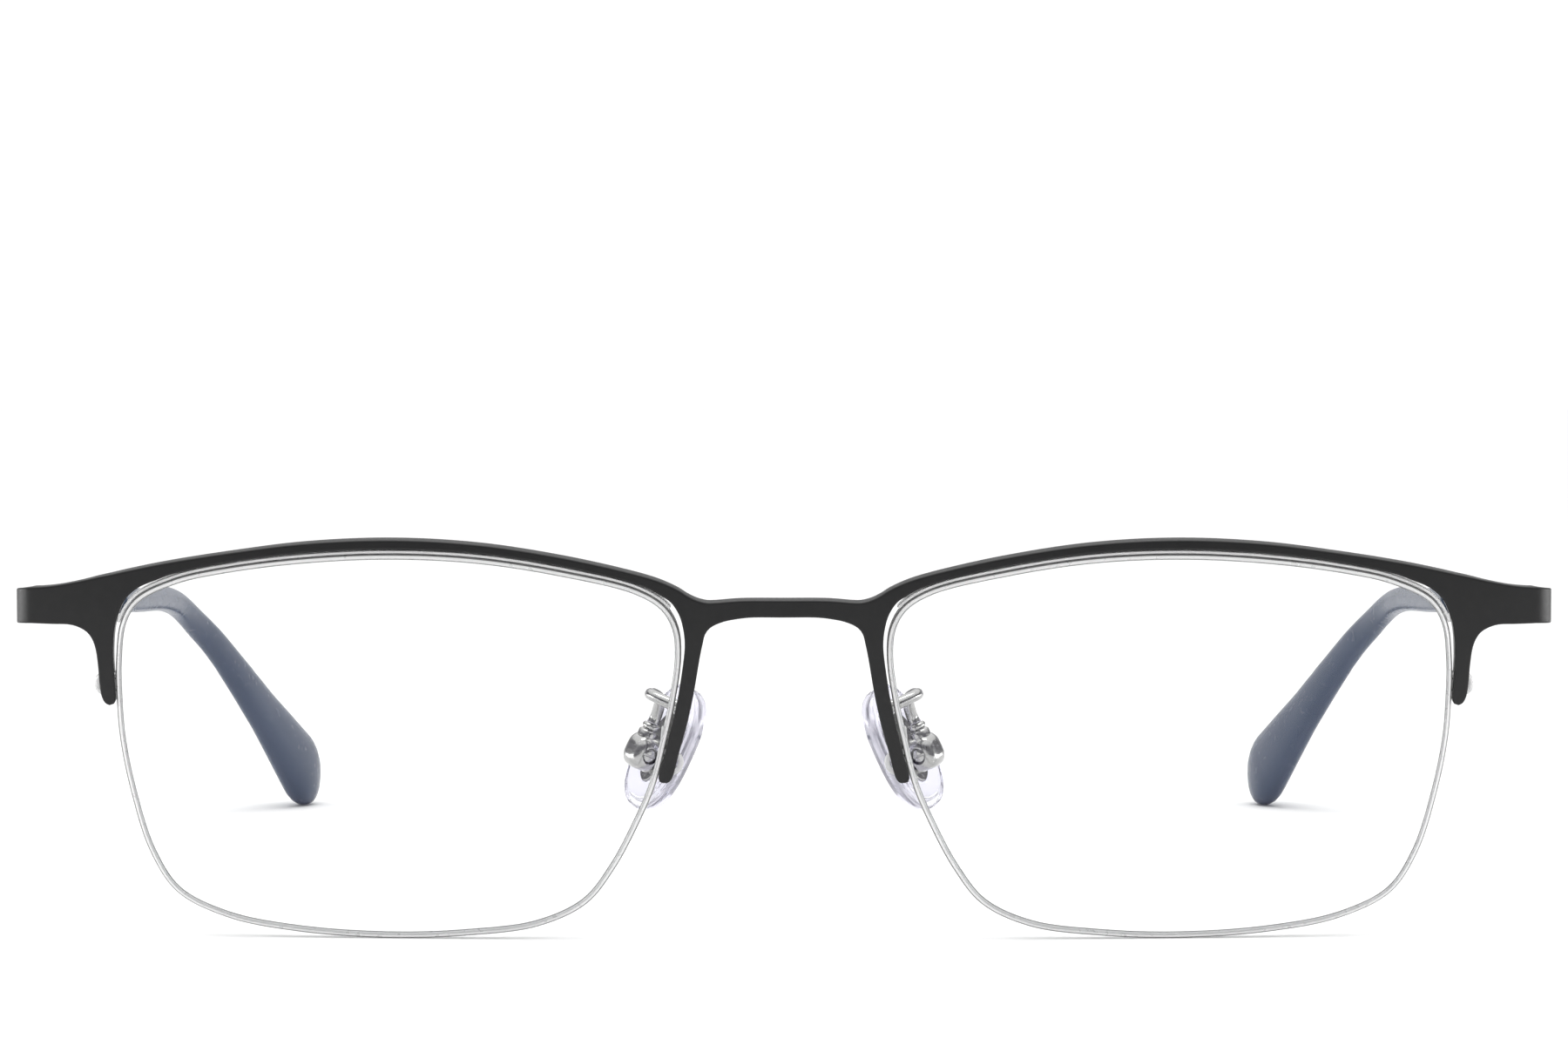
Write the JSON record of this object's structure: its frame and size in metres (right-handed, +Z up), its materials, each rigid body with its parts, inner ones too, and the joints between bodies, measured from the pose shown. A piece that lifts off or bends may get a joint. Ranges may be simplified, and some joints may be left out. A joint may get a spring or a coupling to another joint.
{
  "type": "half rim eyeglasses",
  "caption": "Half rim spectacles: metal brow front, lenses held below by nylon cord, adjustable nose pads and folding temples with curved tips.",
  "frame": {"origin": "on the ground, in the middle of the glasses' length and width, as they stand open on both lenses and both temple tips", "axes": "+X to the wearer's left, +Y from the front back along the temples, +Z up"},
  "size_m": [0.141, 0.1391, 0.0367],
  "materials": {
    "front_metal": "satin black baked paint",
    "arm_metal": "satin black baked paint",
    "lens_plastic": "clear, polished",
    "liner_nylon": "clear nylon strip",
    "cord_nylon": "clear nylon cord",
    "pad_silicone": "clear silicone, smooth",
    "pad_steel": "plated, bright satin",
    "hinge_steel": "bright satin",
    "screw_steel": "polished head, slotted",
    "tip_acetate": "translucent navy acetate, polished"
  },
  "bodies": {
    "front": {"front_frame": "front_metal", "lens_left": "lens_plastic", "lens_right": "lens_plastic", "rim_liner_left": "liner_nylon", "rim_liner_right": "liner_nylon", "lens_cord_left": "cord_nylon", "lens_cord_right": "cord_nylon", "pad_arm_left": "pad_steel", "pad_arm_right": "pad_steel", "pad_box_left": "pad_steel", "pad_box_right": "pad_steel", "pad_screw_left": "screw_steel", "pad_screw_right": "screw_steel", "hinge_front_leaf_left": "hinge_steel", "hinge_front_leaf_right": "hinge_steel", "hinge_screw_left": "screw_steel", "hinge_screw_right": "screw_steel"},
    "temple_left": {"temple_arm_left": "arm_metal", "temple_tip_left": "tip_acetate", "hinge_temple_leaf_left": "hinge_steel"},
    "temple_right": {"temple_arm_right": "arm_metal", "temple_tip_right": "tip_acetate", "hinge_temple_leaf_right": "hinge_steel"},
    "pad_left": {"nose_pad_left": "pad_silicone", "pad_core_left": "pad_steel"},
    "pad_right": {"nose_pad_right": "pad_silicone", "pad_core_right": "pad_steel"}
  },
  "joints": [
    {"name": "temple_left_fold", "type": "hinge", "parent": "front", "child": "temple_left", "pos_m": [0.06759, -0.05321, 0.02981], "axis": [-0.0017, 0.0479, 0.9988], "range_deg": [0, 86]},
    {"name": "temple_right_fold", "type": "hinge", "parent": "front", "child": "temple_right", "pos_m": [-0.06759, -0.05321, 0.02981], "axis": [-0.0017, -0.0479, -0.9988], "range_deg": [0, 81.5]},
    {"name": "nose_pad_left_rock", "type": "hinge", "parent": "front", "child": "pad_left", "pos_m": [0.01306, -0.05973, 0.01678], "axis": [0.5111, 0.8258, 0.2383], "range_deg": [-10, 10]},
    {"name": "nose_pad_right_rock", "type": "hinge", "parent": "front", "child": "pad_right", "pos_m": [-0.01306, -0.05973, 0.01678], "axis": [0.5111, -0.8258, -0.2383], "range_deg": [-10, 10]}
  ]
}
